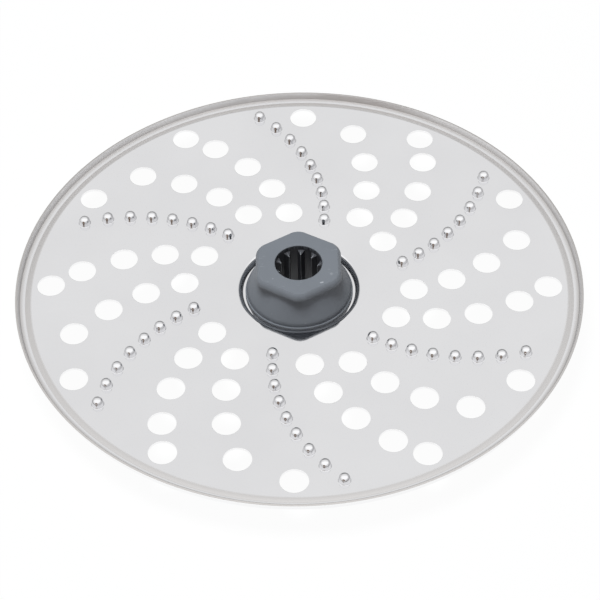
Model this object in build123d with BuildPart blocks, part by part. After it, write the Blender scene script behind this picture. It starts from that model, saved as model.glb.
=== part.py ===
from build123d import *
import os
from math import acos, atan2, ceil, cos, degrees

# Perforated and pipped disc of a kitchen food processor, in millimetres.
# The disc lies level with its working side up. The origin is on the axis, on the hub's lower face.

# Sheet disc
outer_diameter = 148.0
sheet_thickness = 0.6

# Rim, from the edge inwards: a steep upturned lip, a shallow channel and a soft step up to the flat
lip_height = 2.25          # from the channel's floor to the edge
lip_lean = 0.5             # how far the lip leans outwards over its height
lip_bend = 0.6
channel_width = 1.35
channel_depth = 0.5
step_width = 1.3

# Rows of holes and pips: equal arms, each an arc of a circle that stands off the axis
sectors = 6
arms_per_sector = 3
arm_radius = 50.65
arm_centre_radius = 51.17
arm_angle = 27.96          # direction of the first pip arm's centre, in degrees from +X

# Holes
hole_diameter = 7.2
hole_pitch = 10.0
first_hole_radius = 27.5
second_hole_radius = 30.0
ring_margin = 5.25         # from the ring of holes out to the step
ring_holes = 12
arm_margin = 4.5           # from the last hole of an arm out to the ring of holes

# Pips, pressed up out of the sheet, each row set a third of the pitch further out than the last
pip_radius = 1.5
pip_crown_radius = 0.8
pip_height = 2.25
pip_pitch = 5.12
first_pip_radius = 24.95
pip_stagger_rows = 3
first_pip_row = 2          # which sector's row starts nearest the axis
pip_margin = 3.8           # from the last pip out to the step
pip_sides = 10             # the small pips are cut in flats, in place of a round dome
dimple_radius = 1.0
dimple_crown_radius = 0.4
dimple_depth = 2.3
dimple_sides = 6

# Drive hub, moulded through the sheet
hub_height = 18.0
head_projection = 8.9      # top of the head above the flat of the sheet
head_sides = 6
head_across_flats = 22.2
head_height = 1.8
head_corner_radius = 4.2
head_edge_radius = 1.5
skirt_top_diameter = 20.2
skirt_hollow = 0.35        # how far the skirt's side curves in from a straight cone
flange_diameter = 28.1
flange_thickness = 0.8
flange_chamfer = 0.25
foot_diameter = 21.0
foot_chamfer = 0.6
neck_across_flats = 19.0
neck_corner_radius = 1.5
neck_clearance = 0.05

# Well that seats the hub's flange below the flat of the sheet
well_depth = 1.8
well_clearance = 0.75      # from the flange out to the foot of the well's wall
well_wall_width = 0.7
well_brim_bend = 1.0

# Drive socket: a round bore with inward ribs, pointed at both ends
bore_diameter = 12.3
rib_count = 10
rib_height = 1.25
rib_width = 2.0
rib_angle = 11.0
rib_point = 0.8            # drop from a rib's root to its crest, at either end
socket_lead_in = 1.5
socket_mouth = 4.0

# Derived places
outer_radius = outer_diameter / 2
lip_angle = atan2(lip_lean, lip_height)
lip_edge_radius = outer_radius - sheet_thickness * cos(lip_angle)
lip_foot_radius = lip_edge_radius - lip_lean
step_foot_radius = lip_foot_radius - channel_width
flat_radius = step_foot_radius - step_width
sheet_top = hub_height - head_projection
channel_floor = sheet_top - channel_depth
well_floor = sheet_top - well_depth
well_under = well_floor - sheet_thickness
well_foot_radius = flange_diameter / 2 + well_clearance
well_brim_radius = well_foot_radius + well_wall_width
head_bottom = hub_height - head_height
bore_radius = bore_diameter / 2
head_turn = 180 / head_sides  # two flats face along X
sector_angle = 360 / sectors
arm_step = sector_angle / arms_per_sector
ring_radius = flat_radius - ring_margin


def arm_direction(angle, radius):
    """Direction, in degrees, where the arm whose centre lies at the given angle meets a radius."""
    cosine = (radius**2 + arm_centre_radius**2 - arm_radius**2) / (2 * radius * arm_centre_radius)
    return angle - degrees(acos(cosine))


def arm_points(angle, start, pitch, limit):
    """Points along one arm, at an even radial pitch from start to no further out than limit."""
    count = max(0, ceil((limit - start) / pitch))
    radii = [start + step * pitch for step in range(count)]
    return [Vector(radius, 0).rotate(Axis.Z, arm_direction(angle, radius)) for radius in radii]


def side_slope(base_radius, crown_radius, height):
    """Slope from upright, in degrees, of a side that narrows from base to crown over a height."""
    return degrees(atan2(base_radius - crown_radius, height))


hole_points = []
pip_points = []
for sector in range(sectors):
    pip_arm = arm_angle + sector * sector_angle
    hole_limit = ring_radius - arm_margin
    hole_points += arm_points(pip_arm + arm_step, first_hole_radius, hole_pitch, hole_limit)
    hole_points += arm_points(pip_arm + 2 * arm_step, second_hole_radius, hole_pitch, hole_limit)
    stagger = (sector - first_pip_row) % pip_stagger_rows * pip_pitch / pip_stagger_rows
    pip_points += arm_points(pip_arm, first_pip_radius + stagger, pip_pitch, flat_radius - pip_margin)
ring_start = arm_direction(arm_angle + arm_step, ring_radius)

# Pressed sheet: one bent line, thickened and turned about the axis, then pierced and pipped
with BuildPart() as pip_plate:
    with BuildSketch(Plane.XZ):
        with BuildLine():
            FilletPolyline(
                (0, well_floor),
                (well_foot_radius, well_floor),
                (well_brim_radius, sheet_top),
                (flat_radius, sheet_top),
                (step_foot_radius, channel_floor),
                (lip_foot_radius, channel_floor),
                (lip_edge_radius, channel_floor + lip_height),
                radius=[0, well_brim_bend, 0, 0, lip_bend],
            )
            offset(amount=sheet_thickness, side=Side.RIGHT)
        make_face()
    revolve(axis=Axis.Z)
    with BuildSketch(Plane.XY.offset(sheet_top)):
        with Locations(hole_points):
            Circle(hole_diameter / 2)
        with PolarLocations(ring_radius, ring_holes, start_angle=ring_start):
            Circle(hole_diameter / 2)
    extrude(amount=sheet_thickness, both=True, mode=Mode.SUBTRACT)
    with BuildSketch(Plane.XY.offset(well_under)) as neck_window:
        RegularPolygon(
            neck_across_flats / 2 + neck_clearance, head_sides, major_radius=False, rotation=head_turn
        )
        fillet(neck_window.vertices(), neck_corner_radius)
    extrude(amount=sheet_thickness, mode=Mode.SUBTRACT)
    with BuildSketch(Plane.XY.offset(sheet_top)):
        with Locations(pip_points):
            RegularPolygon(pip_radius, pip_sides)
    extrude(amount=pip_height, taper=side_slope(pip_radius, pip_crown_radius, pip_height))
    with BuildSketch(Plane.XY.offset(sheet_top - sheet_thickness)):
        with Locations(pip_points):
            RegularPolygon(dimple_radius, dimple_sides)
    dimple_slope = side_slope(dimple_radius, dimple_crown_radius, dimple_depth)
    extrude(amount=dimple_depth, taper=dimple_slope, mode=Mode.SUBTRACT)

pip_plate.part.label = "pip_plate"

# Moulded hub: foot, flanges each side of the sheet, skirt, six-sided head and ribbed socket
with BuildPart() as drive_hub:
    with BuildSketch(Plane.XZ) as upper_section:
        with BuildLine():
            skirt_foot = (flange_diameter / 2, well_floor + flange_thickness)
            skirt_top = (skirt_top_diameter / 2, head_bottom)
            Polyline(
                skirt_foot,
                (flange_diameter / 2, well_floor),
                (0, well_floor),
                (0, head_bottom),
                skirt_top,
            )
            SagittaArc(skirt_top, skirt_foot, skirt_hollow)
        make_face()
        chamfer(upper_section.vertices().group_by(Axis.X)[-1], flange_chamfer)
    revolve(axis=Axis.Z)
    with BuildSketch(Plane.XZ) as lower_section:
        Polygon(
            (0, 0),
            (foot_diameter / 2, 0),
            (flange_diameter / 2, well_under - flange_thickness),
            (flange_diameter / 2, well_under),
            (0, well_under),
            align=None,
        )
        chamfer(lower_section.vertices().group_by(Axis.X)[-1], flange_chamfer)
    revolve(axis=Axis.Z)
    with BuildSketch(Plane.XY.offset(well_under)) as neck:
        RegularPolygon(neck_across_flats / 2, head_sides, major_radius=False, rotation=head_turn)
        fillet(neck.vertices(), neck_corner_radius)
    extrude(amount=sheet_thickness)
    with BuildSketch(Plane.XY.offset(head_bottom)) as head:
        RegularPolygon(head_across_flats / 2, head_sides, major_radius=False, rotation=head_turn)
        fillet(head.vertices(), head_corner_radius)
    extrude(amount=head_height)
    fillet(drive_hub.edges().group_by(Axis.Z)[-1], head_edge_radius)
    chamfer(drive_hub.edges().group_by(Axis.Z)[0], foot_chamfer)
    with BuildSketch():
        Circle(bore_radius)
        with PolarLocations(bore_radius, rib_count, start_angle=rib_angle):
            Polygon(
                (rib_height, -rib_width / 2),
                (0, -rib_width / 2),
                (-rib_height, 0),
                (0, rib_width / 2),
                (rib_height, rib_width / 2),
                align=None,
                mode=Mode.SUBTRACT,
            )
    extrude(amount=hub_height, mode=Mode.SUBTRACT)
    point_slope = rib_point / rib_height
    lead_in_foot = hub_height - socket_lead_in
    with BuildSketch(Plane.XZ):
        Polygon(
            (0, hub_height),
            (bore_radius, hub_height),
            (bore_radius, lead_in_foot),
            (0, lead_in_foot - point_slope * bore_radius),
            align=None,
        )
        Polygon(
            (0, 0),
            (bore_radius, 0),
            (bore_radius, socket_mouth),
            (0, socket_mouth + point_slope * bore_radius),
            align=None,
        )
    revolve(axis=Axis.Z, mode=Mode.SUBTRACT)

drive_hub.part.label = "drive_hub"

os.makedirs("parts", exist_ok=True)
export_step(pip_plate.part, "parts/pip_plate.step")
export_step(drive_hub.part, "parts/drive_hub.step")
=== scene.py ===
import math

import bmesh
import bpy
from bpy.props import FloatProperty, FloatVectorProperty, IntProperty, PointerProperty
from mathutils import Matrix, Vector


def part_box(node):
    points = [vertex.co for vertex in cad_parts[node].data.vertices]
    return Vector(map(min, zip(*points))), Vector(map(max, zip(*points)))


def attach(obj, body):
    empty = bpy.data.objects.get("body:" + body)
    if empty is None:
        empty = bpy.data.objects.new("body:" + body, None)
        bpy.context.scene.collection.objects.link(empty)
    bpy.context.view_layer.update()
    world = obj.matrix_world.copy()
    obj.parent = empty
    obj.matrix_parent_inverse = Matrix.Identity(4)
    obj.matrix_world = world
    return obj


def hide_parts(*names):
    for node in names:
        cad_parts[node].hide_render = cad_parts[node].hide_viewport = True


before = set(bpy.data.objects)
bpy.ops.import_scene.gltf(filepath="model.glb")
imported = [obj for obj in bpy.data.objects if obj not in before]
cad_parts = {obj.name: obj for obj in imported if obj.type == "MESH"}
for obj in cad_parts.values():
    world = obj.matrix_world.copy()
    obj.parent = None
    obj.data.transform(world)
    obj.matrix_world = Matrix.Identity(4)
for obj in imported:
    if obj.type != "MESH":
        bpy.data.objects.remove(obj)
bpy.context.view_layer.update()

bl_info = {
    "name": "Food processor disc",
    "version": (1, 0, 0),
    "blender": (4, 5, 0),
    "location": "View3D > Sidebar > Food disc",
    "description": "A pressed disc with holes and pips on a moulded drive hub, and a studio to show it in",
    "category": "Add Mesh",
}

MM = 0.001
PLATE_LOW, PLATE_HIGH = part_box("pip_plate")
HUB_LOW, HUB_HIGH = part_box("drive_hub")

# Section lines of the pressed sheet, by number
RIM_LINE = 0
WELL_TOP_LINE = 1
WELL_UNDER_LINE = 2
HOLE_LINE = 3
PIP_LINE = 4
DIMPLE_LINE = 5

# Faces round each turned form
RIM_SEGMENTS = 288
WELL_SEGMENTS = 144
HOLE_SEGMENTS = 48
PIP_SEGMENTS = 32
DIMPLE_SEGMENTS = 16

# Degrees to a step along a bend
BEND_STEP = 7.5
RIM_BEND_STEP = 5.0
HOLE_BEND_STEP = 40.0

# Steps over each curve
PIP_STEPS = 9
DIMPLE_STEPS = 5
ROOT_STEPS = 3
HEAD_EDGE_STEPS = 6
RIB_STEPS = 9
SOCKET_WALL_STEPS = 9
WINDOW_CORNER_STEPS = 6

# The hub's head and neck, and the window for the neck, have six sides
SIDES = 6
HALF_SIDE = math.pi / SIDES

# A narrow level band, two points wide, round each form keeps the flat of the sheet truly flat
LEVEL_BAND = 0.08 * MM
BAND_POINTS = 2

# Points nearer than this are welded
WELD_DISTANCE = 0.002 * MM

# A line that turns by less than this, in radians, runs straight on
STRAIGHT_TURN = 1e-4

# Radius of the circle that section lines are swept along
TURN_BASE = 10 * MM

# Edges sharper than these stay crisp
SHEET_CREASE = math.radians(50)
HUB_CREASE = math.radians(25)

# How far the rim's step, its lip and the lip's crest take on their finish, from none to all
STEP_SATIN = 0.75
LIP_SATIN = 0.9
CREST_BRIGHT = 0.9

# Share of a rib, from its crest to its root, that is painted pale as a painted highlight along the crest
CREST_HIGHLIGHT_SHARE = 0.12

# Small pale marks on the head: place and radius in millimetres, and strength
HEAD_MARKS = [
    ((5.6, -7.33, 17.95), 0.3, 0.7),
    ((5.85, -7.27, 17.95), 0.3, 0.7),
    ((6.1, -7.2, 17.95), 0.3, 0.7),
    ((8.4, -4.3, 18.0), 0.55, 0.25),
    ((-6.7, -5.6, 18.0), 0.2, 0.5),
]

# How many of its radii a mark takes to fade out
MARK_FADE = 1.5

# Patterns of the finishes, in patches to the metre, and the turn of those that run one way
CLOUD_PATCHES = 45.0
GRAIN_PATCHES = (260.0, 9000.0, 260.0)
GRAIN_TURN = math.radians(14)
FLOW_PATCHES = 130.0
SKIN_PATCHES = 3200.0
RUB_PATCHES = (420.0, 1500.0, 420.0)
RUB_TURN = math.radians(37)
MARK_EDGE_PATCHES = 2600.0

# Parts of a pattern's range that show, and the strength of the rubbed streaks
MOST_NOISE = (0.3, 0.7)
CLOUD_NOISE = (0.35, 0.65)
RUB_NOISE = (0.7, 0.78)
RUB_STRENGTH = 0.25

# Least and most share of a finish's roughness, and how the fine patterns stand out
GRAIN_ROUGHNESS = (0.7, 1.3)
FLOW_ROUGHNESS = (0.9, 1.12)
GRAIN_BUMP = {"Strength": 0.015, "Distance": 0.02 * MM}
SKIN_BUMP = {"Strength": 0.08, "Distance": 0.03 * MM}

# Where the dome and the low wall behind the object dim: 0 is beside the object, 1 straight behind
DOME_DIMS = (0.05, 0.45)
LOW_WALL_DIMS = (0.75, 0.86)

# Floor and camera
WHITE = (1.0, 1.0, 1.0, 1.0)
FLOOR_COLOUR = (0.92, 0.92, 0.92, 1.0)
FLOOR_GAP = 0.05 * MM
SENSOR_WIDTH = 36.0
NEAREST_SIGHT = 10 * MM


# Settings

def length(name, description, millimetres):
    """A size that the panel shows as a length, from its usual value in millimetres."""
    return FloatProperty(
        name=name,
        description=description,
        default=millimetres * MM,
        min=0.0,
        precision=5,
        subtype="DISTANCE",
        unit="LENGTH",
    )


def angle(name, description, degrees):
    """A turn that the panel shows as an angle, from its usual value in degrees."""
    return FloatProperty(
        name=name,
        description=description,
        default=math.radians(degrees),
        subtype="ANGLE",
        unit="ROTATION",
    )


def number(name, description, count):
    """A whole number of like things."""
    return IntProperty(name=name, description=description, default=count, min=1)


def share(name, description, value):
    """A share from none to all."""
    return FloatProperty(
        name=name, description=description, default=value, min=0.0, max=1.0, subtype="FACTOR"
    )


def strength(name, description, value):
    """An amount of light, from none upwards."""
    return FloatProperty(name=name, description=description, default=value, min=0.0)


def colour(name, description, value):
    """A colour in linear light."""
    return FloatVectorProperty(
        name=name, description=description, default=value, min=0.0, max=1.0, subtype="COLOR"
    )


class PressedSheetSizes(bpy.types.PropertyGroup):
    """Sizes of the pressed sheet: its rim and well, its rows of holes and its rows of pips."""

    outer_radius: length("Outer radius", "From the axis to the outside of the lip", PLATE_HIGH.x / MM)
    lip_rise: length("Lip rise", "Height of the lip's edge above the flat", 1.75)
    well_under: length("Well underside", "Height of the well's lower face", PLATE_LOW.z / MM)
    thickness: length("Thickness", "Thickness of the sheet", 0.6)
    lip_lean: length("Lip lean", "How far the lip leans outwards", 0.5)
    lip_bend: length("Lip bend", "Bend radius at the lip's foot", 0.15)
    edge_bend: length("Edge rounding", "Rounding of the lip's cut edge", 0.15)
    channel_width: length("Channel width", "Width of the rim channel's floor", 1.34)
    channel_depth: length("Channel depth", "Drop from the flat to the channel", 0.27)
    channel_rise: length("Channel rise", "Rise of the channel's floor towards the lip", 0.21)
    step_width: length("Step width", "Width of the slope into the channel", 1.07)
    step_brim_bend: length("Step brim bend", "Bend radius at the top of the step", 6.0)
    step_foot_bend: length("Step foot bend", "Bend radius at the foot of the step", 1.5)
    well_depth: length("Well depth", "Drop from the flat to the well's floor", 1.8)
    well_foot_radius: length("Well foot radius", "From the axis to the foot of the well's wall", 14.8)
    well_wall_width: length("Well wall width", "Run of the well's sloping wall", 0.7)
    well_brim_bend: length("Well brim bend", "Bend radius at the top of the well", 1.5)
    well_foot_bend: length("Well foot bend", "Bend radius at the foot of the well", 0.25)
    window_across_flats: length("Window across flats", "Six-sided window for the hub's neck", 19.1)
    window_corner: length("Window corner", "Corner radius of the window", 1.5)
    sectors: number("Sectors", "Equal groups of arms round the disc", 6)
    arms_per_sector: number("Arms per sector", "One arm of pips and the arms of holes beside it", 3)
    arm_radius: length("Arm radius", "Radius of the arc that each arm follows", 50.65)
    arm_centre_radius: length("Arm centre radius", "From the axis to the centre of that arc", 51.17)
    arm_angle: angle("Arm angle", "Direction of the first pip arm's centre", 27.96)
    hole_radius: length("Hole radius", "Radius of a pierced hole", 3.6)
    hole_edge: length("Hole edge", "Rolled edge that the punch leaves", 0.08)
    hole_pitch: length("Hole pitch", "Radial step between holes of an arm", 10.0)
    holes_per_arm: number("Holes per arm", "Holes along one arm", 4)
    first_hole_radius: length("First hole radius", "Where the first arm of holes starts", 27.5)
    second_hole_radius: length("Second hole radius", "Where the second arm of holes starts", 30.0)
    ring_radius: length("Ring radius", "Circle of the outer holes", 65.014)
    ring_holes: number("Ring holes", "Holes on the outer circle", 12)
    pip_top: length("Pip top", "Height of the pips' crowns", PLATE_HIGH.z / MM)
    pip_radius: length("Pip radius", "Radius of a pip's round crown", 1.45)
    pip_slope: angle("Pip slope", "How far a pip's side leans in from upright", 8.0)
    pip_root: length("Pip root", "Bend radius where a pip leaves the flat", 0.15)
    pip_wall: length("Pip wall", "Thickness of the drawn sheet in a pip", 0.4)
    pip_pitch: length("Pip pitch", "Radial step between pips", 5.12)
    first_pip_radius: length("First pip radius", "Where the innermost row of pips starts", 24.95)
    pip_limit: length("Pip limit", "No pip lies further out than this", 66.464)
    pips_per_arm: number("Pips per arm", "Most pips that a row can hold", 9)
    pip_stagger_rows: number("Stagger rows", "Rows before the stagger repeats", 3)
    first_pip_row: number("First row", "Sector whose row starts nearest the axis", 2)


class DriveHubSizes(bpy.types.PropertyGroup):
    """Sizes of the moulded hub: its head, skirt, flanges, foot and ribbed socket."""

    hub_top: length("Hub height", "Height of the head's top face", HUB_HIGH.z / MM)
    flange_radius: length("Flange radius", "Radius of the two flanges", HUB_HIGH.x / MM)
    head_across_flats: length("Head across flats", "Width of the six-sided head", 22.2)
    head_height: length("Head height", "Height of the head's sides", 1.85)
    head_corner: length("Head corner", "Corner radius of the head", 4.2)
    head_edge: length("Head edge", "Width of the head's rounded top edge", 0.94)
    head_edge_top: angle("Edge slope at top", "Slope of the rounded edge where it meets the top", 34.0)
    head_edge_foot: angle("Edge slope at foot", "Slope of the rounded edge at its foot", 88.0)
    head_foot_edge: length("Head foot edge", "Rounding of the head's lower edge", 0.15)
    skirt_top_radius: length("Skirt top radius", "Radius of the skirt under the head", 10.5)
    skirt_neck_drop: length("Skirt neck drop", "Height of the skirt's upright neck", 1.1)
    skirt_neck_bend: length("Skirt neck bend", "Bend from the slope into the upright neck", 3.5)
    skirt_foot_rise: length("Skirt foot rise", "Height of the skirt's upright foot", 0.9)
    skirt_foot_bend: length("Skirt foot bend", "Bend from the upright foot into the slope", 3.0)
    flange_ledge: length("Flange ledge", "Level ledge that the flange leaves round the skirt", 0.3)
    flange_thickness: length("Flange thickness", "Thickness of each flange", 0.8)
    flange_edge: length("Flange edge", "Rounding of a flange's edges", 0.22)
    foot_radius: length("Foot radius", "Radius of the lower face", 10.5)
    foot_edge: length("Foot edge", "Rounding of the lower edge", 0.6)
    neck_across_flats: length("Neck across flats", "Width of the neck through the sheet", 19.0)
    neck_corner: length("Neck corner", "Corner radius of the neck", 1.5)
    bore_radius: length("Bore radius", "Radius of the socket between its ribs", 6.15)
    bore_edge: length("Bore edge", "Rounding of the socket's two mouths", 0.2)
    rib_count: number("Ribs", "Ribs round the socket", 10)
    rib_height: length("Rib height", "How far a rib stands in from the bore", 1.25)
    rib_width: length("Rib width", "Width of a rib at its root", 2.0)
    rib_angle: angle("Rib angle", "Direction of the first rib", 11.0)
    rib_point: length("Rib point", "Slope of a rib's ends, from root to crest", 0.8)
    lead_in: length("Lead-in", "Plain bore above the ribs", 1.5)
    mouth: length("Mouth", "Plain bore below the ribs", 4.0)


class DiscFinishes(bpy.types.PropertyGroup):
    """Colours, roughness and shine of the polished sheet and the moulded hub."""

    steel_colour: colour("Steel", "Polished sheet", (0.735, 0.735, 0.745))
    steel_shade: colour("Steel shade", "The faint cloudiness of the rolled sheet", (0.715, 0.715, 0.726))
    steel_roughness: share("Steel roughness", "Roughness of the polished sheet", 0.055)
    lip_colour: colour("Lip", "Satin step and lip of the rim", (0.6, 0.583, 0.572))
    lip_roughness: share("Lip roughness", "Roughness that the satin rim adds to the polish", 0.45)
    punched_colour: colour("Punched edge", "Bright hole walls and outside of the lip", (0.93, 0.93, 0.935))
    hub_colour: colour("Hub", "Moulded grey", (0.183, 0.197, 0.221))
    hub_shade: colour("Hub shade", "Darker flow of the moulding", (0.169, 0.183, 0.205))
    # The same pale colour is also painted along the rib crests as a painted highlight
    hub_scuff_and_highlight: colour("Hub scuff", "Pale rubbed marks", (0.5, 0.52, 0.55))
    # Painted shade: this dark colour covers the whole socket wall, standing in for the shade deep in the bore
    socket_painted_shade: colour("Socket", "Darker bare wall of the drive socket", (0.042, 0.044, 0.052))
    hub_shine: share("Hub shine", "Strength of the moulded grey's shine", 0.42)
    hub_roughness: share("Hub roughness", "Roughness of the moulded grey", 0.42)


class StudioSettings(bpy.types.PropertyGroup):
    """The plain pale floor, the soft light round it and the camera."""

    floor_size: length("Floor size", "Width of the floor", 8000)
    floor_glow: share("Floor glow", "Share of the floor that shows as plain white", 0.96)
    room_strength: strength("Room strength", "The room as polished metal shows it", 1.33)
    room_light: strength("Room light", "The room's own share of the light on the object", 0.22)
    lamp_light: strength("Lamp light", "The lamp's share of the light on a level face", 0.98)
    lamp_colour: colour("Lamp", "Colour of the lamp", (0.95, 0.985, 1.0))
    lamp_height: length("Lamp height", "Height of the lamp over the floor", 1000)
    lamp_size: length("Lamp size", "Width of the lamp", 400)
    lamp_aside: length("Lamp aside", "How far the lamp stands to the left", 150)
    lamp_forward: length("Lamp forward", "How far the lamp stands towards the camera", 10)
    dome_colour: colour("Dome", "Broad soft light overhead", (1.0, 1.0, 1.0))
    left_wall_colour: colour("Left wall", "Lower part of the room on the left", (0.74, 0.74, 0.74))
    right_wall_colour: colour("Right wall", "Lower part of the room on the right", (0.5, 0.5, 0.51))
    warm_corner_colour: colour("Warm corner", "Dim corner of the room beside the camera", (0.2, 0.15, 0.12))
    dome_foot: angle("Dome foot", "Where the dome starts to brighten, above level", 12.0)
    dome_shoulder: angle("Dome shoulder", "Where the dome is at its brightest, above level", 40.0)
    far_dim: share("Far dimming", "How far the dome dims behind the object", 0.25)
    far_wall_dim: share("Far wall dimming", "How much further the low wall behind the object dims", 0.3)
    corner_turn: angle("Corner turn", "Direction of the warm corner, to the left of the camera", 19.0)
    corner_rise: angle("Corner rise", "Height of the warm corner's middle, above level", 5.0)
    corner_inner: angle("Corner inside", "Half width of the warm corner's even part", 23.0)
    corner_outer: angle("Corner outside", "Half width at which the warm corner ends", 28.0)
    camera_elevation: angle("Camera elevation", "Height of the camera over the disc", 46.535)
    camera_distance: length("Camera distance", "From the disc's centre to the camera", 603.85)
    camera_yaw: angle("Camera yaw", "Aim to the right of the centre", 0.0147)
    camera_pitch: angle("Camera pitch", "Aim above the centre", -0.3428)
    camera_roll: angle("Camera roll", "Turn about the line of sight", -1.3551)
    camera_lens: FloatProperty(
        name="Lens",
        description="Focal length in millimetres",
        default=138.58,
        min=1.0,
        subtype="DISTANCE_CAMERA",
        unit="CAMERA",
    )


# Lines and sections, as points of radius and height

def rounded_line(corners, bends, bend_step=BEND_STEP):
    """Points along a line whose inner corners are arcs, each of its own radius, in steps of some degrees."""
    points = [corners[0]]
    for before, corner, after, bend in zip(corners, corners[1:], corners[2:], bends):
        arriving = (corner - before).normalized()
        leaving = (after - corner).normalized()
        turn = arriving.angle(leaving)
        if bend == 0 or turn < STRAIGHT_TURN:
            points.append(corner)
            continue
        reach = bend * math.tan(turn / 2)
        centre = corner + (leaving - arriving).normalized() * bend / math.cos(turn / 2)
        first = corner - arriving * reach - centre
        steps = max(2, math.ceil(math.degrees(turn) / bend_step))
        side = math.copysign(1, arriving.x * leaving.y - arriving.y * leaving.x)
        for step in range(steps + 1):
            swing = side * turn * step / steps
            points.append(centre + Matrix.Rotation(swing, 2) @ first)
    points.append(corners[-1])
    return points


def offset_line(points, distance):
    """The line moved to its right by a distance, as the lower face of a sheet lies under the upper one."""
    moved = []
    for place, point in enumerate(points):
        before = points[max(place - 1, 0)]
        after = points[min(place + 1, len(points) - 1)]
        arriving = (point - before if place else after - point).normalized()
        leaving = (after - point if place < len(points) - 1 else arriving).normalized()
        along = (arriving + leaving).normalized()
        right = Vector((along.y, -along.x))
        moved.append(point + right * distance / along.dot(arriving))
    return moved


def sheet_heights(sizes):
    """Heights of the flat and the well's floor."""
    well_floor = sizes.well_under + sizes.thickness
    return well_floor + sizes.well_depth, well_floor


def rim_section(sizes):
    """The rim's closed side: soft step, channel, upturned lip, cut edge, and back along the underside."""
    top, _ = sheet_heights(sizes)
    lip_top = top + sizes.lip_rise
    channel_floor = top - sizes.channel_depth
    lip_bottom = channel_floor + sizes.channel_rise
    lip_angle = math.atan2(sizes.lip_lean, lip_top - lip_bottom)
    edge_radius = sizes.outer_radius - sizes.thickness * math.cos(lip_angle)
    lip_foot = edge_radius - sizes.lip_lean
    step_foot = lip_foot - sizes.channel_width
    brim = step_foot - sizes.step_width
    step_angle = math.atan2(sizes.channel_depth, sizes.step_width)
    flat_edge = brim - sizes.step_brim_bend * math.tan(step_angle / 2) - LEVEL_BAND
    corners = [
        Vector((flat_edge, top)),
        Vector((brim, top)),
        Vector((step_foot, channel_floor)),
        Vector((lip_foot, lip_bottom)),
        Vector((edge_radius, lip_top)),
    ]
    bends = [sizes.step_brim_bend, sizes.step_foot_bend, sizes.lip_bend]
    upper = rounded_line(corners, bends, RIM_BEND_STEP)
    lower = offset_line(upper, sizes.thickness)
    lower.reverse()
    edge_bends = [0] * (len(upper) + len(lower) - 2)
    edge_bends[len(upper) - 2] = sizes.edge_bend
    edge_bends[len(upper) - 1] = sizes.edge_bend
    return rounded_line(upper + lower, edge_bends), flat_edge


def well_sections(sizes):
    """Upper and lower lines of the well, from its level floor out to the flat, and the radii of both ends."""
    top, well_floor = sheet_heights(sizes)
    foot = sizes.well_foot_radius
    brim = foot + sizes.well_wall_width
    wall_angle = math.atan2(sizes.well_depth, sizes.well_wall_width)
    flat_edge = brim + sizes.well_brim_bend * math.tan(wall_angle / 2) + LEVEL_BAND
    under_foot_bend = sizes.well_foot_bend + sizes.thickness
    floor_edge = foot - under_foot_bend * math.tan(wall_angle / 2) - LEVEL_BAND
    corners = [
        Vector((floor_edge, well_floor)),
        Vector((foot, well_floor)),
        Vector((brim, top)),
        Vector((flat_edge, top)),
    ]
    upper = rounded_line(corners, [sizes.well_foot_bend, sizes.well_brim_bend])
    lower = offset_line(upper, sizes.thickness)
    return upper, lower, floor_edge, flat_edge


def hole_section(sizes):
    """A hole's wall, with the rolled upper edge and crisper lower edge that a punch leaves."""
    top, _ = sheet_heights(sizes)
    under = top - sizes.thickness
    flat_edge = sizes.hole_radius + sizes.hole_edge + LEVEL_BAND
    corners = [
        Vector((flat_edge, top)),
        Vector((sizes.hole_radius, top)),
        Vector((sizes.hole_radius, under)),
        Vector((flat_edge, under)),
    ]
    return rounded_line(corners, [sizes.hole_edge, sizes.hole_edge / 2], HOLE_BEND_STEP), flat_edge


def dome_line(radius, height, slope, root, base, steps):
    """A round crown on a sloping side that leaves its base by a hollow bend, from the flat up to the axis."""
    crown = base + height - radius
    shoulder_radius = radius * math.cos(slope)
    shoulder = crown + radius * math.sin(slope)
    side_foot = base + root * (1 - math.sin(slope))
    foot_radius = shoulder_radius + (shoulder - side_foot) * math.tan(slope)
    root_centre = foot_radius + root * math.cos(slope)
    flat_edge = root_centre + LEVEL_BAND
    points = [Vector((flat_edge, base))]
    for step in range(ROOT_STEPS + 1):
        turn = math.pi / 2 + (slope - math.pi / 2) * step / ROOT_STEPS
        points.append(Vector((root_centre - root * math.cos(turn), base + root - root * math.sin(turn))))
    side = Vector((-math.sin(slope), math.cos(slope)))
    points.append(Vector((foot_radius, side_foot)) + side * LEVEL_BAND)
    for step in range(steps):
        rise = slope + (math.pi / 2 - slope) * step / steps
        points.append(Vector((radius * math.cos(rise), crown + radius * math.sin(rise))))
    points.append(Vector((0.0, crown + radius)))
    return points, flat_edge


# Geometry node trees

def new_tree(name, sockets):
    """A geometry tree with the named inputs and one geometry output."""
    tree = bpy.data.node_groups.new(name, "GeometryNodeTree")
    for label, kind in sockets:
        tree.interface.new_socket(label, in_out="INPUT", socket_type="NodeSocket" + kind)
    tree.interface.new_socket("Geometry", in_out="OUTPUT", socket_type="NodeSocketGeometry")
    given = tree.nodes.new("NodeGroupInput").outputs
    result = tree.nodes.new("NodeGroupOutput").inputs["Geometry"]
    return tree, given, result


def add_node(tree, kind, inputs=None, **options):
    """One node with its options set, and its inputs linked to sockets or filled with values."""
    node = tree.nodes.new(kind)
    for option, value in options.items():
        setattr(node, option, value)
    for key, value in (inputs or {}).items():
        if isinstance(value, bpy.types.NodeSocket):
            tree.links.new(value, node.inputs[key])
        else:
            node.inputs[key].default_value = value
    return node


def made(tree, kind, inputs=None, **options):
    """The first output of a new node."""
    return add_node(tree, kind, inputs, **options).outputs[0]


def calc(tree, operation, *values):
    """The outcome of one sum."""
    return made(tree, "ShaderNodeMath", dict(enumerate(values)), operation=operation)


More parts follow.
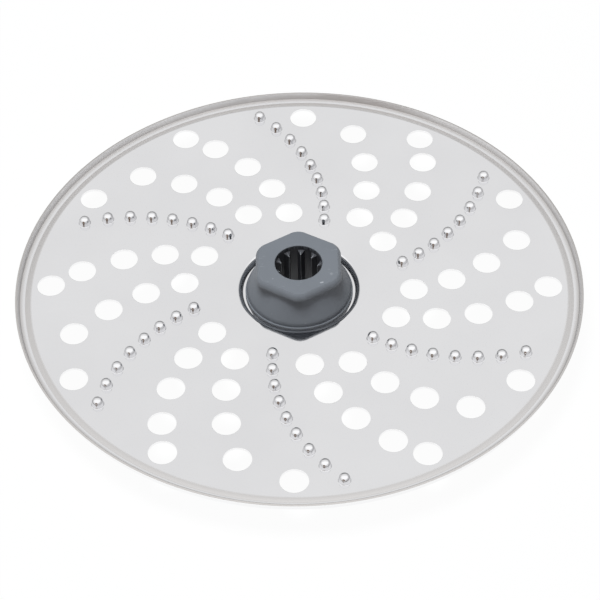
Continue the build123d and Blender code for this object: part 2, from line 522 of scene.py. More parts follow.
def join_geometry(tree, *parts):
    """Several geometries as one."""
    node = tree.nodes.new("GeometryNodeJoinGeometry")
    for part in parts:
        tree.links.new(part, node.inputs[0])
    return node.outputs[0]


def use_tree(tree, group, inputs):
    """The geometry that another tree makes from the given inputs."""
    return made(tree, "GeometryNodeGroup", inputs, node_tree=group)


def repeat_on(tree, points, instance, turn=None):
    """A copy of the instance at each point, made real."""
    inputs = {"Points": points, "Instance": instance}
    if turn is not None:
        inputs["Rotation"] = turn
    copies = made(tree, "GeometryNodeInstanceOnPoints", inputs)
    return made(tree, "GeometryNodeRealizeInstances", {0: copies})


def circle_line(tree, radius, segments):
    """A round line about the axis."""
    inputs = {"Radius": radius, "Resolution": segments}
    return made(tree, "GeometryNodeCurvePrimitiveCircle", inputs)


def level_fill(tree, lines, height):
    """A level face between closed lines, at a height."""
    face = made(tree, "GeometryNodeFillCurve", {"Curve": lines}, mode="TRIANGLES")
    place = made(tree, "ShaderNodeCombineXYZ", {"Z": height})
    return made(tree, "GeometryNodeTransform", {"Geometry": face, "Translation": place})


def arm_points_tree():
    """Points along curved arms, in even radial steps, with each arm's start staggered from the last."""
    tree, given, result = new_tree("Arm points", [
        ("Arms", "Int"),
        ("Points per arm", "Int"),
        ("Start radius", "Float"),
        ("Pitch", "Float"),
        ("Limit", "Float"),
        ("Stagger rows", "Int"),
        ("First row", "Int"),
        ("Arm angle", "Float"),
        ("Arm radius", "Float"),
        ("Arm centre radius", "Float"),
    ])
    index = made(tree, "GeometryNodeInputIndex")
    per_arm = given["Points per arm"]
    pitch = given["Pitch"]
    reach = given["Arm centre radius"]
    # Half a place more keeps the division clear of rounding
    arm = calc(tree, "FLOOR", calc(tree, "DIVIDE", calc(tree, "ADD", index, 0.5), per_arm))
    step = calc(tree, "SUBTRACT", index, calc(tree, "MULTIPLY", arm, per_arm))
    row = calc(tree, "FLOORED_MODULO", calc(tree, "SUBTRACT", arm, given["First row"]), given["Stagger rows"])
    stagger = calc(tree, "DIVIDE", calc(tree, "MULTIPLY", row, pitch), given["Stagger rows"])
    start = calc(tree, "ADD", given["Start radius"], stagger)
    radius = calc(tree, "MULTIPLY_ADD", step, pitch, start)
    # The law of cosines gives the swing from the arm's centre to its point, seen from the axis
    squares = calc(tree, "ADD", calc(tree, "POWER", radius, 2.0), calc(tree, "POWER", reach, 2.0))
    over = calc(tree, "SUBTRACT", squares, calc(tree, "POWER", given["Arm radius"], 2.0))
    under = calc(tree, "MULTIPLY", calc(tree, "MULTIPLY", radius, reach), 2.0)
    swing = calc(tree, "ARCCOSINE", calc(tree, "DIVIDE", over, under))
    sector = calc(tree, "DIVIDE", math.tau, given["Arms"])
    arm_turn = calc(tree, "MULTIPLY_ADD", arm, sector, given["Arm angle"])
    direction = calc(tree, "SUBTRACT", arm_turn, swing)
    place = made(tree, "ShaderNodeCombineXYZ", {
        "X": calc(tree, "MULTIPLY", radius, calc(tree, "COSINE", direction)),
        "Y": calc(tree, "MULTIPLY", radius, calc(tree, "SINE", direction)),
    })
    count = calc(tree, "MULTIPLY", given["Arms"], per_arm)
    points = made(tree, "GeometryNodePoints", {"Count": count, "Position": place})
    beyond = calc(tree, "GREATER_THAN", radius, given["Limit"])
    kept = made(tree, "GeometryNodeDeleteGeometry", {"Geometry": points, "Selection": beyond})
    tree.links.new(kept, result)
    return tree


def turned_section_tree():
    """One of the drawn section lines, turned about the axis."""
    tree, given, result = new_tree("Turned section", [
        ("Lines", "Geometry"),
        ("Line", "Int"),
        ("Segments", "Int"),
    ])
    named = made(tree, "GeometryNodeInputNamedAttribute", {"Name": "line"}, data_type="INT")
    # Sockets 2 and 3 compare whole numbers
    pair = {2: named, 3: given["Line"]}
    chosen = made(tree, "FunctionNodeCompare", pair, data_type="INT", operation="EQUAL")
    inputs = {"Geometry": given["Lines"], "Selection": chosen}
    one_line = made(tree, "GeometryNodeSeparateGeometry", inputs)
    curve = made(tree, "GeometryNodeMeshToCurve", {0: one_line})
    place = made(tree, "GeometryNodeInputPosition")
    parts = add_node(tree, "ShaderNodeSeparateXYZ", {0: place}).outputs
    across = made(tree, "ShaderNodeCombineXYZ", {
        "X": calc(tree, "SUBTRACT", parts["X"], TURN_BASE),
        "Y": calc(tree, "MULTIPLY", parts["Z"], -1.0),
    })
    section = made(tree, "GeometryNodeSetPosition", {"Geometry": curve, "Position": across})
    path = circle_line(tree, TURN_BASE, given["Segments"])
    upright = made(tree, "GeometryNodeSetCurveNormal", {"Curve": path}, mode="Z_UP")
    turned = made(tree, "GeometryNodeCurveToMesh", {"Curve": upright, "Profile Curve": section})
    tree.links.new(turned, result)
    return tree


def end_tree(tree, geometry, finish, result):
    """Ends a tree: welds the geometry, makes it real and gives it its finish."""
    inputs = {"Geometry": geometry, "Distance": WELD_DISTANCE}
    welded = made(tree, "GeometryNodeMergeByDistance", inputs)
    real = made(tree, "GeometryNodeRealizeInstances", {0: welded})
    finished = made(tree, "GeometryNodeSetMaterial", {"Geometry": real, "Material": finish})
    tree.links.new(finished, result)


def pressed_sheet_tree():
    """The whole sheet: level faces pierced by holes and pips, with each form turned from its section line."""
    tree, given, result = new_tree("Pressed sheet", [
        ("Lines", "Geometry"),
        ("Top", "Float"),
        ("Thickness", "Float"),
        ("Well floor", "Float"),
        ("Flat outer radius", "Float"),
        ("Flat inner radius", "Float"),
        ("Floor radius", "Float"),
        ("Window radius", "Float"),
        ("Window corner", "Float"),
        ("Hole edge radius", "Float"),
        ("Pip edge radius", "Float"),
        ("Dimple edge radius", "Float"),
        ("Sectors", "Int"),
        ("Arm radius", "Float"),
        ("Arm centre radius", "Float"),
        ("Pip arm angle", "Float"),
        ("First hole arm angle", "Float"),
        ("Second hole arm angle", "Float"),
        ("Holes per arm", "Int"),
        ("Hole pitch", "Float"),
        ("First hole radius", "Float"),
        ("Second hole radius", "Float"),
        ("Ring radius", "Float"),
        ("Ring holes", "Int"),
        ("Pips per arm", "Int"),
        ("Pip pitch", "Float"),
        ("First pip radius", "Float"),
        ("Pip limit", "Float"),
        ("Pip stagger rows", "Int"),
        ("First pip row", "Int"),
        ("Finish", "Material"),
    ])
    arm_points = arm_points_tree()
    turned_section = turned_section_tree()

    def arm(inputs):
        shape = {"Arm radius": given["Arm radius"], "Arm centre radius": given["Arm centre radius"]}
        return use_tree(tree, arm_points, {**shape, **inputs})

    def turned(line, segments):
        return use_tree(tree, turned_section, {"Lines": given["Lines"], "Line": line, "Segments": segments})

    hole_arms = []
    for place in ["First", "Second"]:
        hole_arms.append(arm({
            "Arms": given["Sectors"],
            "Points per arm": given["Holes per arm"],
            "Start radius": given[place + " hole radius"],
            "Pitch": given["Hole pitch"],
            "Limit": given["Ring radius"],
            "Stagger rows": 1,
            "First row": 0,
            "Arm angle": given[place + " hole arm angle"],
        }))
    ring = arm({
        "Arms": given["Ring holes"],
        "Points per arm": 1,
        "Start radius": given["Ring radius"],
        "Pitch": given["Hole pitch"],
        "Limit": calc(tree, "MULTIPLY", given["Ring radius"], 2.0),
        "Stagger rows": 1,
        "First row": 0,
        "Arm angle": given["First hole arm angle"],
    })
    holes = join_geometry(tree, *hole_arms, ring)
    pips = arm({
        "Arms": given["Sectors"],
        "Points per arm": given["Pips per arm"],
        "Start radius": given["First pip radius"],
        "Pitch": given["Pip pitch"],
        "Limit": given["Pip limit"],
        "Stagger rows": given["Pip stagger rows"],
        "First row": given["First pip row"],
        "Arm angle": given["Pip arm angle"],
    })

    under = calc(tree, "SUBTRACT", given["Top"], given["Thickness"])
    well_under = calc(tree, "SUBTRACT", given["Well floor"], given["Thickness"])
    outer_line = circle_line(tree, given["Flat outer radius"], RIM_SEGMENTS)
    inner_line = circle_line(tree, given["Flat inner radius"], WELL_SEGMENTS)
    hole_lines = repeat_on(tree, holes, circle_line(tree, given["Hole edge radius"], HOLE_SEGMENTS))
    pip_lines = repeat_on(tree, pips, circle_line(tree, given["Pip edge radius"], PIP_SEGMENTS))
    dimple_lines = repeat_on(tree, pips, circle_line(tree, given["Dimple edge radius"], DIMPLE_SEGMENTS))
    top_lines = join_geometry(tree, outer_line, inner_line, hole_lines, pip_lines)
    under_lines = join_geometry(tree, outer_line, inner_line, hole_lines, dimple_lines)
    flat_top = level_fill(tree, top_lines, given["Top"])
    flat_under = level_fill(tree, under_lines, under)

    floor_line = circle_line(tree, given["Floor radius"], WELL_SEGMENTS)
    six_sides = circle_line(tree, given["Window radius"], SIDES)
    inputs = {"Geometry": six_sides, "Rotation": (0.0, 0.0, HALF_SIDE)}
    flats_along_x = made(tree, "GeometryNodeTransform", inputs)
    inputs = {"Curve": flats_along_x, "Count": WINDOW_CORNER_STEPS, "Radius": given["Window corner"]}
    window_line = made(tree, "GeometryNodeFilletCurve", inputs, mode="POLY")
    floor_lines = join_geometry(tree, floor_line, window_line)
    floor_top = level_fill(tree, floor_lines, given["Well floor"])
    floor_under = level_fill(tree, floor_lines, well_under)
    window_edge = made(tree, "GeometryNodeCurveToMesh", {"Curve": window_line})
    window_place = made(tree, "ShaderNodeCombineXYZ", {"Z": well_under})
    inputs = {"Geometry": window_edge, "Translation": window_place}
    window_foot = made(tree, "GeometryNodeTransform", inputs)
    window_rise = made(tree, "ShaderNodeCombineXYZ", {"Z": given["Thickness"]})
    inputs = {"Mesh": window_foot, "Offset": window_rise, "Offset Scale": 1.0}
    window_wall = made(tree, "GeometryNodeExtrudeMesh", inputs, mode="EDGES")

    everything = join_geometry(
        tree,
        flat_top,
        flat_under,
        floor_top,
        floor_under,
        window_wall,
        turned(RIM_LINE, RIM_SEGMENTS),
        turned(WELL_TOP_LINE, WELL_SEGMENTS),
        turned(WELL_UNDER_LINE, WELL_SEGMENTS),
        repeat_on(tree, holes, turned(HOLE_LINE, HOLE_SEGMENTS)),
        repeat_on(tree, pips, turned(PIP_LINE, PIP_SEGMENTS)),
        repeat_on(tree, pips, turned(DIMPLE_LINE, DIMPLE_SEGMENTS)),
    )
    end_tree(tree, everything, given["Finish"], result)
    return tree


def ribbed_wall_tree():
    """A ribbed wall: one rib's share of it, set round the axis as often as there are ribs."""
    tree, given, result = new_tree("Ribbed wall", [
        ("Rib", "Geometry"),
        ("Ribs", "Int"),
        ("Finish", "Material"),
    ])
    points = made(tree, "GeometryNodePoints", {"Count": given["Ribs"]})
    index = made(tree, "GeometryNodeInputIndex")
    turn = calc(tree, "MULTIPLY", index, calc(tree, "DIVIDE", math.tau, given["Ribs"]))
    turns = made(tree, "ShaderNodeCombineXYZ", {"Z": turn})
    ribs = repeat_on(tree, points, given["Rib"], turns)
    end_tree(tree, ribs, given["Finish"], result)
    return tree


def add_object(name, data):
    """A new object in the scene."""
    thing = bpy.data.objects.new(name, data)
    bpy.context.scene.collection.objects.link(thing)
    return thing


def grown_mesh(name, mesh, tree, values):
    """The plain mesh that a tree makes from a starting mesh and named values."""
    seed = add_object(name + "_seed", mesh)
    modifier = seed.modifiers.new(tree.name, "NODES")
    modifier.node_group = tree
    for socket in tree.interface.items_tree:
        if socket.in_out == "INPUT" and socket.name in values:
            modifier[socket.identifier] = values[socket.name]
    bpy.context.view_layer.update()
    depsgraph = bpy.context.evaluated_depsgraph_get()
    grown = bpy.data.meshes.new_from_object(seed.evaluated_get(depsgraph), depsgraph=depsgraph)
    seed.modifiers.remove(modifier)
    bpy.data.objects.remove(seed)
    return grown


def close_mesh(mesh, name, crease):
    """Welds a closed mesh, turns its faces outwards, and shades it smooth up to the given crease."""
    shell = bmesh.new()
    shell.from_mesh(mesh)
    bmesh.ops.remove_doubles(shell, verts=shell.verts, dist=WELD_DISTANCE)
    bmesh.ops.dissolve_degenerate(shell, edges=shell.edges, dist=WELD_DISTANCE / 4)
    bmesh.ops.recalc_face_normals(shell, faces=shell.faces)
    open_edges = sum(1 for edge in shell.edges if not edge.is_manifold)
    if open_edges:
        raise RuntimeError(f"{name} has {open_edges} edges that don't close")
    if shell.calc_volume(signed=True) < 0:
        bmesh.ops.reverse_faces(shell, faces=shell.faces)
    shell.to_mesh(mesh)
    shell.free()
    mesh.shade_smooth()
    mesh.set_sharp_from_angle(angle=crease)
    mesh.name = name


def show_piece(name, mesh, node):
    """Puts a finished mesh in the scene, riding on the body, in place of its solid."""
    piece = add_object(name, mesh)
    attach(piece, "root")
    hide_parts(node)


# Finishes

def empty_nodes(owner):
    """The node tree of a material or a world, emptied."""
    owner.use_nodes = True
    owner.node_tree.nodes.clear()
    return owner.node_tree


def shader_tree(name):
    """A new material with its tree, its shader's inputs and the place on the surface."""
    finish = bpy.data.materials.new(name)
    tree = empty_nodes(finish)
    shader = tree.nodes.new("ShaderNodeBsdfPrincipled")
    output = tree.nodes.new("ShaderNodeOutputMaterial")
    tree.links.new(shader.outputs[0], output.inputs["Surface"])
    place = tree.nodes.new("ShaderNodeTexCoord").outputs["Object"]
    return finish, tree, shader.inputs, place


def noise(tree, place, scale, detail, stretch=None, turn=0.0):
    """Soft random patches on the surface, drawn out along one way if stretched."""
    if stretch is not None:
        inputs = {"Vector": place, "Scale": stretch, "Rotation": (0.0, 0.0, turn)}
        place = made(tree, "ShaderNodeMapping", inputs)
    return made(tree, "ShaderNodeTexNoise", {"Vector": place, "Scale": scale, "Detail": detail})


def between(tree, value, given, wanted=(0.0, 1.0), **options):
    """The value carried from one range to another, and held inside it."""
    inputs = {
        "Value": value,
        "From Min": given[0],
        "From Max": given[1],
        "To Min": wanted[0],
        "To Max": wanted[1],
    }
    return made(tree, "ShaderNodeMapRange", inputs, **options)


def point_mark(tree, name):
    """How strongly the surface is marked with a finish, from none to all."""
    return add_node(tree, "ShaderNodeAttribute", attribute_name=name).outputs["Fac"]


def blend_colours(tree, amount, first, second):
    """One colour or the other, by an amount from none to all."""
    node = tree.nodes.new("ShaderNodeMix")
    node.data_type = "RGBA"
    tree.links.new(amount, node.inputs["Factor"])
    # Sockets 6 and 7 take the colours, and output 2 gives their mix
    for place, value in ((6, first), (7, second)):
        if isinstance(value, bpy.types.NodeSocket):
            tree.links.new(value, node.inputs[place])
        else:
            node.inputs[place].default_value = (*value, 1.0)
    return node.outputs[2]


def polished_sheet_finish(finishes):
    """Polished stainless sheet: near mirror with faint cloud and rolling grain, satin rim and bare edges."""
    finish, tree, shader, place = shader_tree("polished_sheet")
    cloud = noise(tree, place, CLOUD_PATCHES, detail=3.0)
    grain = noise(tree, place, 1.0, detail=3.0, stretch=GRAIN_PATCHES, turn=GRAIN_TURN)
    satin = point_mark(tree, "satin")
    punched = point_mark(tree, "punched")
    clouded = between(tree, cloud, CLOUD_NOISE)
    tint = blend_colours(tree, clouded, finishes.steel_shade, finishes.steel_colour)
    lipped = blend_colours(tree, satin, tint, finishes.lip_colour)
    tree.links.new(blend_colours(tree, punched, lipped, finishes.punched_colour), shader["Base Color"])
    shader["Metallic"].default_value = 1.0
    roughness = [finishes.steel_roughness * part for part in GRAIN_ROUGHNESS]
    polished = between(tree, grain, MOST_NOISE, roughness)
    dulled = calc(tree, "MULTIPLY_ADD", satin, finishes.lip_roughness, polished)
    tree.links.new(dulled, shader["Roughness"])
    bump = made(tree, "ShaderNodeBump", {"Height": grain, **GRAIN_BUMP})
    tree.links.new(bump, shader["Normal"])
    return finish


def moulded_hub_finish(finishes):
    """Grey satin moulding: faint flow marks, fine grain and a few pale rubbed marks, with painted shade on
    the socket wall and a painted highlight along the rib crests.
    """
    finish, tree, shader, place = shader_tree("moulded_hub")
    flow = noise(tree, place, FLOW_PATCHES, detail=4.0)
    skin = noise(tree, place, SKIN_PATCHES, detail=2.0)
    rubs = noise(tree, place, 1.0, detail=2.0, stretch=RUB_PATCHES, turn=RUB_TURN)
    body = blend_colours(tree, between(tree, flow, MOST_NOISE), finishes.hub_shade, finishes.hub_colour)
    rubs_and_painted_highlight = between(tree, rubs, RUB_NOISE, (0.0, RUB_STRENGTH))
    edge = noise(tree, place, MARK_EDGE_PATCHES, detail=1.0)
    for spot, radius, amount in HEAD_MARKS:
        inputs = {0: place, 1: [part * MM for part in spot]}
        away = add_node(tree, "ShaderNodeVectorMath", inputs, operation="DISTANCE").outputs["Value"]
        ragged = calc(tree, "MULTIPLY_ADD", edge, radius * MM, away)
        mark = between(tree, ragged, (radius * MM, MARK_FADE * radius * MM), (amount, 0.0))
        rubs_and_painted_highlight = calc(tree, "MAXIMUM", rubs_and_painted_highlight, mark)
    outside = blend_colours(tree, rubs_and_painted_highlight, body, finishes.hub_scuff_and_highlight)
    # Painted shade: the socket wall takes a dark colour where the deep bore lies in shade
    socket_shaded = blend_colours(tree, point_mark(tree, "socket"), outside, finishes.socket_painted_shade)
    # Painted highlight: the pale colour along each rib's crest
    crest_highlighted = blend_colours(tree, point_mark(tree, "rubs_and_painted_highlight"), socket_shaded, finishes.hub_scuff_and_highlight)
    tree.links.new(crest_highlighted, shader["Base Color"])
    shader["Specular IOR Level"].default_value = finishes.hub_shine
    roughness = [finishes.hub_roughness * part for part in FLOW_ROUGHNESS]
    tree.links.new(between(tree, flow, MOST_NOISE, roughness), shader["Roughness"])
    bump = made(tree, "ShaderNodeBump", {"Height": skin, **SKIN_BUMP})
    tree.links.new(bump, shader["Normal"])
    return finish


# Pieces

def section_lines_mesh(sections):
    """The section lines as one mesh of edges, each point marked with its line and its finish."""
    points = []
    edges = []
    lines = []
    marks = {"satin": [], "punched": []}
    for line, section, finishes in sections:
        start = len(points)
        for place, point in enumerate(section):
            points.append((point.x, 0.0, point.y))
            lines.append(line)
            for name, values in marks.items():
                amounts = [
                    amount for finish, first, last, amount in finishes
                    if finish == name and first <= place <= last
                ]
                values.append(sum(amounts))
        edges += [(place, place + 1) for place in range(start, len(points) - 1)]
    mesh = bpy.data.meshes.new("sheet_lines")
    mesh.from_pydata(points, edges, [])
    mesh.attributes.new("line", "INT", "POINT").data.foreach_set("value", lines)
    for name, values in marks.items():
        mesh.attributes.new(name, "FLOAT", "POINT").data.foreach_set("value", values)
    return mesh


def rim_finishes(rim, sizes):
    """Finishes along the rim's section: partly satin step and lip, satin cut edge, bright outer face."""
    top, _ = sheet_heights(sizes)
    inside = sizes.outer_radius - sizes.lip_lean - 2 * sizes.thickness
    outside = inside + sizes.thickness
    edge = top + sizes.lip_rise - sizes.thickness / 3
    # Places along the line, found by their radius and height
    lip = min(place for place, point in enumerate(rim) if point.x > inside)
    channel = min(range(lip), key=lambda place: rim[place].y)
    cut = max(place for place, point in enumerate(rim) if point.y > edge)
    foot = max(place for place, point in enumerate(rim) if point.x > outside)
    crest = min(place for place, point in enumerate(rim) if point.y > edge)
    return [
        ("satin", BAND_POINTS, channel - 1, STEP_SATIN),
        ("satin", lip, crest, LIP_SATIN),
        ("punched", crest, crest, CREST_BRIGHT),
        ("satin", crest + 1, cut, 1.0),
        ("punched", cut + 1, foot, 1.0),
    ]


class FOOD_DISC_OT_pressed_sheet(bpy.types.Operator):
    """Makes the pressed sheet with its rim, well, holes and pips"""

    bl_idname = "food_disc.pressed_sheet"
    bl_label = "Pressed sheet"

    def execute(self, context):
        sizes = context.scene.food_disc_sheet
        top, well_floor = sheet_heights(sizes)
        under = top - sizes.thickness
        rim, flat_outer = rim_section(sizes)
        well_upper, well_lower, floor_radius, flat_inner = well_sections(sizes)
        hole, hole_edge = hole_section(sizes)
        slope = sizes.pip_slope
        height = sizes.pip_top - top
        pip, pip_edge = dome_line(sizes.pip_radius, height, slope, sizes.pip_root, top, PIP_STEPS)
        hollow = sizes.pip_radius - sizes.pip_wall
        hollow_height = sizes.pip_top - sizes.pip_wall - under
        hollow_root = sizes.pip_root + sizes.pip_wall
        dimple, dimple_edge = dome_line(hollow, hollow_height, slope, hollow_root, under, DIMPLE_STEPS)
        lines = section_lines_mesh([
            (RIM_LINE, rim, rim_finishes(rim, sizes)),
            (WELL_TOP_LINE, well_upper, []),
            (WELL_UNDER_LINE, well_lower, []),
            (HOLE_LINE, hole, [("punched", BAND_POINTS, len(hole) - 1 - BAND_POINTS, 1.0)]),
            (PIP_LINE, pip, []),
            (DIMPLE_LINE, dimple, []),
        ])
        arm_step = math.tau / sizes.sectors / sizes.arms_per_sector
        finish = polished_sheet_finish(context.scene.food_disc_finishes)
        mesh = grown_mesh("pressed_sheet", lines, pressed_sheet_tree(), {
            "Top": top,
            "Thickness": sizes.thickness,
            "Well floor": well_floor,
            "Flat outer radius": flat_outer,
            "Flat inner radius": flat_inner,
            "Floor radius": floor_radius,
            "Window radius": sizes.window_across_flats / 2 / math.cos(HALF_SIDE),
            "Window corner": sizes.window_corner,
            "Hole edge radius": hole_edge,
            "Pip edge radius": pip_edge,
            "Dimple edge radius": dimple_edge,
            "Sectors": sizes.sectors,
            "Arm radius": sizes.arm_radius,
            "Arm centre radius": sizes.arm_centre_radius,
            "Pip arm angle": sizes.arm_angle,
            "First hole arm angle": sizes.arm_angle + arm_step,
            "Second hole arm angle": sizes.arm_angle + 2 * arm_step,
            "Holes per arm": sizes.holes_per_arm,
            "Hole pitch": sizes.hole_pitch,
            "First hole radius": sizes.first_hole_radius,
            "Second hole radius": sizes.second_hole_radius,
            "Ring radius": sizes.ring_radius,
            "Ring holes": sizes.ring_holes,
            "Pips per arm": sizes.pips_per_arm,
            "Pip pitch": sizes.pip_pitch,
            "First pip radius": sizes.first_pip_radius,
            "Pip limit": sizes.pip_limit,
            "Pip stagger rows": sizes.pip_stagger_rows,
            "First pip row": sizes.first_pip_row,
            "Finish": finish,
        })
        mesh.attributes.remove(mesh.attributes["line"])
        close_mesh(mesh, "pressed_sheet", SHEET_CREASE)
        show_piece("pressed_sheet", mesh, "pip_plate")
        return {"FINISHED"}


def hexagon(flat_distance, corner):
    """Radius, by direction, of a six-sided outline with rounded corners and two flats along X."""
    corner_centre = (flat_distance - corner) / math.cos(HALF_SIDE)
    straight = (flat_distance - corner) * math.tan(HALF_SIDE)

    def radius_at(direction):
        off_flat = abs((direction + HALF_SIDE) % (2 * HALF_SIDE) - HALF_SIDE)
        if flat_distance * math.tan(off_flat) <= straight:
            return flat_distance / math.cos(off_flat)
        off_corner = HALF_SIDE - off_flat
        sideways = corner_centre * math.sin(off_corner)
        return corner_centre * math.cos(off_corner) + math.sqrt(corner**2 - sideways**2)

    return radius_at


def rib_outline(sizes):
    """Radius of the ribbed bore by direction from a rib's crest, and the half angle that a rib takes up."""
    crest = sizes.bore_radius - sizes.rib_height
    slope = sizes.rib_height / (sizes.rib_width / 2)
    root = math.acos(crest / sizes.bore_radius / math.hypot(1, slope)) - math.atan(slope)

    def radius_at(offset):
        if abs(offset) >= root:
            return sizes.bore_radius
        return crest / (math.cos(offset) - slope * math.sin(abs(offset)))

    return radius_at, root


def rib_directions(sizes, root):
    """Directions across one rib's share of the bore, with its crest and both roots among them."""
    wall = math.pi / sizes.rib_count - root
    side = [root * step / RIB_STEPS for step in range(1, RIB_STEPS + 1)]
    side += [root + wall * step / SOCKET_WALL_STEPS for step in range(1, SOCKET_WALL_STEPS + 1)]
    return [-offset for offset in reversed(side)] + [0.0] + side


def loft(rings, closed, socket, rubs_and_painted_highlight):
    """A mesh of quads between rings of equally many points, marked where the socket wall takes painted shade
    and where a rib's crest takes a painted highlight.
    """
    count = len(rings[0])
    points = [point for ring in rings for point in ring]
    faces = []
    for lower in range(len(rings) - 1):
        for place in range(count if closed else count - 1):
            following = (place + 1) % count
            faces.append((
                lower * count + place,
                lower * count + following,
                (lower + 1) * count + following,
                (lower + 1) * count + place,
            ))
    mesh = bpy.data.meshes.new("loft")
    mesh.from_pydata(points, [], faces)
    mesh.attributes.new("socket", "FLOAT", "POINT").data.foreach_set("value", socket)
    mesh.attributes.new("rubs_and_painted_highlight", "FLOAT", "POINT").data.foreach_set("value", rubs_and_painted_highlight)
    return mesh


def polar_point(radius, direction, height):
    """A point by its radius, direction and height."""
    return Vector((radius * math.cos(direction), radius * math.sin(direction), height))


def rib_share(sizes):
    """One rib's share of the socket wall, with the rib's sloping pointed ends."""
    radius_at, root = rib_outline(sizes)
    offsets = rib_directions(sizes, root)
    slope = sizes.rib_point / sizes.rib_height
    top = sizes.hub_top - sizes.lead_in
    bore = sizes.bore_radius
    columns = []
    for offset in offsets:
        direction = sizes.rib_angle + offset
        radius = radius_at(offset)
        drop = slope * (bore - radius)
        column = [
            (bore, sizes.bore_edge),
            (bore, sizes.mouth),
            (radius, sizes.mouth + drop),
            (radius, top - drop),
            (bore, top),
            (bore, sizes.hub_top - sizes.bore_edge),
        ]
        columns.append([polar_point(reach, direction, height) for reach, height in column])
    rings = list(zip(*columns))
    unmarked = [0.0] * len(offsets)
    # Painted highlight along each rib's crest, strongest at the crest and fading a short way down its sides
    crest = [max(0.0, 1.0 - abs(offset) / (CREST_HIGHLIGHT_SHARE * root)) for offset in offsets]
    # Every point of the socket wall is marked for painted shade
    wall = [1.0] * len(offsets) * len(rings)
    return loft(rings, closed=False, socket=wall, rubs_and_painted_highlight=unmarked * 2 + crest * 2 + unmarked * 2)


def foot_line(sizes, well_under, neck_reach):
    """Section from the socket's lower mouth round the foot and the lower flange to the neck."""
    corners = [
        Vector((sizes.bore_radius, sizes.bore_edge)),
        Vector((sizes.bore_radius, 0.0)),
        Vector((sizes.foot_radius, 0.0)),
        Vector((sizes.flange_radius, well_under - sizes.flange_thickness)),
        Vector((sizes.flange_radius, well_under)),
        Vector((neck_reach, well_under)),
    ]
    return rounded_line(corners, [sizes.bore_edge, sizes.foot_edge, sizes.flange_edge, sizes.flange_edge])


def skirt_line(sizes, well_floor, neck_reach):
    """Section from the neck round the upper flange and up the skirt to the head."""
    flange = sizes.flange_radius
    flange_top = well_floor + sizes.flange_thickness
    skirt_foot = flange - sizes.flange_ledge
    head_foot = sizes.hub_top - sizes.head_height
    corners = [
        Vector((neck_reach, well_floor)),
        Vector((flange, well_floor)),
        Vector((flange, flange_top)),
        Vector((skirt_foot, flange_top)),
        Vector((skirt_foot, flange_top + sizes.skirt_foot_rise)),
        Vector((sizes.skirt_top_radius, head_foot - sizes.skirt_neck_drop)),
        Vector((sizes.skirt_top_radius, head_foot)),
    ]
    bends = [
        sizes.flange_edge,
        sizes.flange_edge,
        sizes.flange_edge / 3,
        sizes.skirt_foot_bend,
        sizes.skirt_neck_bend,
    ]
    return rounded_line(corners, bends)


def head_outlines(sizes):
    """Insets and heights of the head's outlines, over its lower edge and its rounded top edge."""
    head_foot = sizes.hub_top - sizes.head_height
    foot_edge = sizes.head_foot_edge
    outlines = []
    for step in range(HEAD_EDGE_STEPS + 1):
        swing = math.pi / 2 * step / HEAD_EDGE_STEPS
        inset = foot_edge * (1 - math.sin(swing))
        height = head_foot + foot_edge * (1 - math.cos(swing))
        outlines.append((inset, height))
    foot_slope = sizes.head_edge_foot
    top_slope = sizes.head_edge_top
    edge_radius = sizes.head_edge / (math.sin(foot_slope) - math.sin(top_slope))
    for step in range(HEAD_EDGE_STEPS + 1):
        slope = foot_slope + (top_slope - foot_slope) * step / HEAD_EDGE_STEPS
        inset = edge_radius * (math.sin(foot_slope) - math.sin(slope))
        height = sizes.hub_top - edge_radius * (math.cos(top_slope) - math.cos(slope))
        outlines.append((inset, height))
    outlines.append((sizes.head_edge + LEVEL_BAND, sizes.hub_top))
    return outlines


def mouth_line(sizes):
    """Section from the head's level top over the socket's rounded upper mouth."""
    corners = [
        Vector((sizes.bore_radius + sizes.bore_edge + LEVEL_BAND, sizes.hub_top)),
        Vector((sizes.bore_radius, sizes.hub_top)),
        Vector((sizes.bore_radius, sizes.hub_top - sizes.bore_edge)),
    ]
    return rounded_line(corners, [sizes.bore_edge])


def hub_shell(sizes, sheet):
    """The hub's outer skin, from the lower mouth of the socket round the outside to the upper mouth."""
    _, root = rib_outline(sizes)
    offsets = rib_directions(sizes, root)
    share_angle = math.tau / sizes.rib_count
    directions = [
        sizes.rib_angle + rib * share_angle + offset
        for rib in range(sizes.rib_count)
        for offset in offsets[:-1]
    ]

    def turned(points):
        return [[polar_point(point.x, direction, point.y) for direction in directions] for point in points]

    def six_sided(flat_distance, corner, height):
        radius_at = hexagon(flat_distance, corner)
        return [polar_point(radius_at(direction), direction, height) for direction in directions]

    _, well_floor = sheet_heights(sheet)
    neck = sizes.neck_across_flats / 2
    neck_reach = neck / math.cos(HALF_SIDE)
    rings = turned(foot_line(sizes, sheet.well_under, neck_reach))
    for height in (sheet.well_under, well_floor):
        rings.append(six_sided(neck, sizes.neck_corner, height))
    rings += turned(skirt_line(sizes, well_floor, neck_reach))
    for inset, height in head_outlines(sizes):
        rings.append(six_sided(sizes.head_across_flats / 2 - inset, sizes.head_corner - inset, height))
    rings += turned(mouth_line(sizes))
    unmarked = [0.0] * len(rings) * len(directions)
    return loft(rings, closed=True, socket=unmarked, rubs_and_painted_highlight=unmarked)


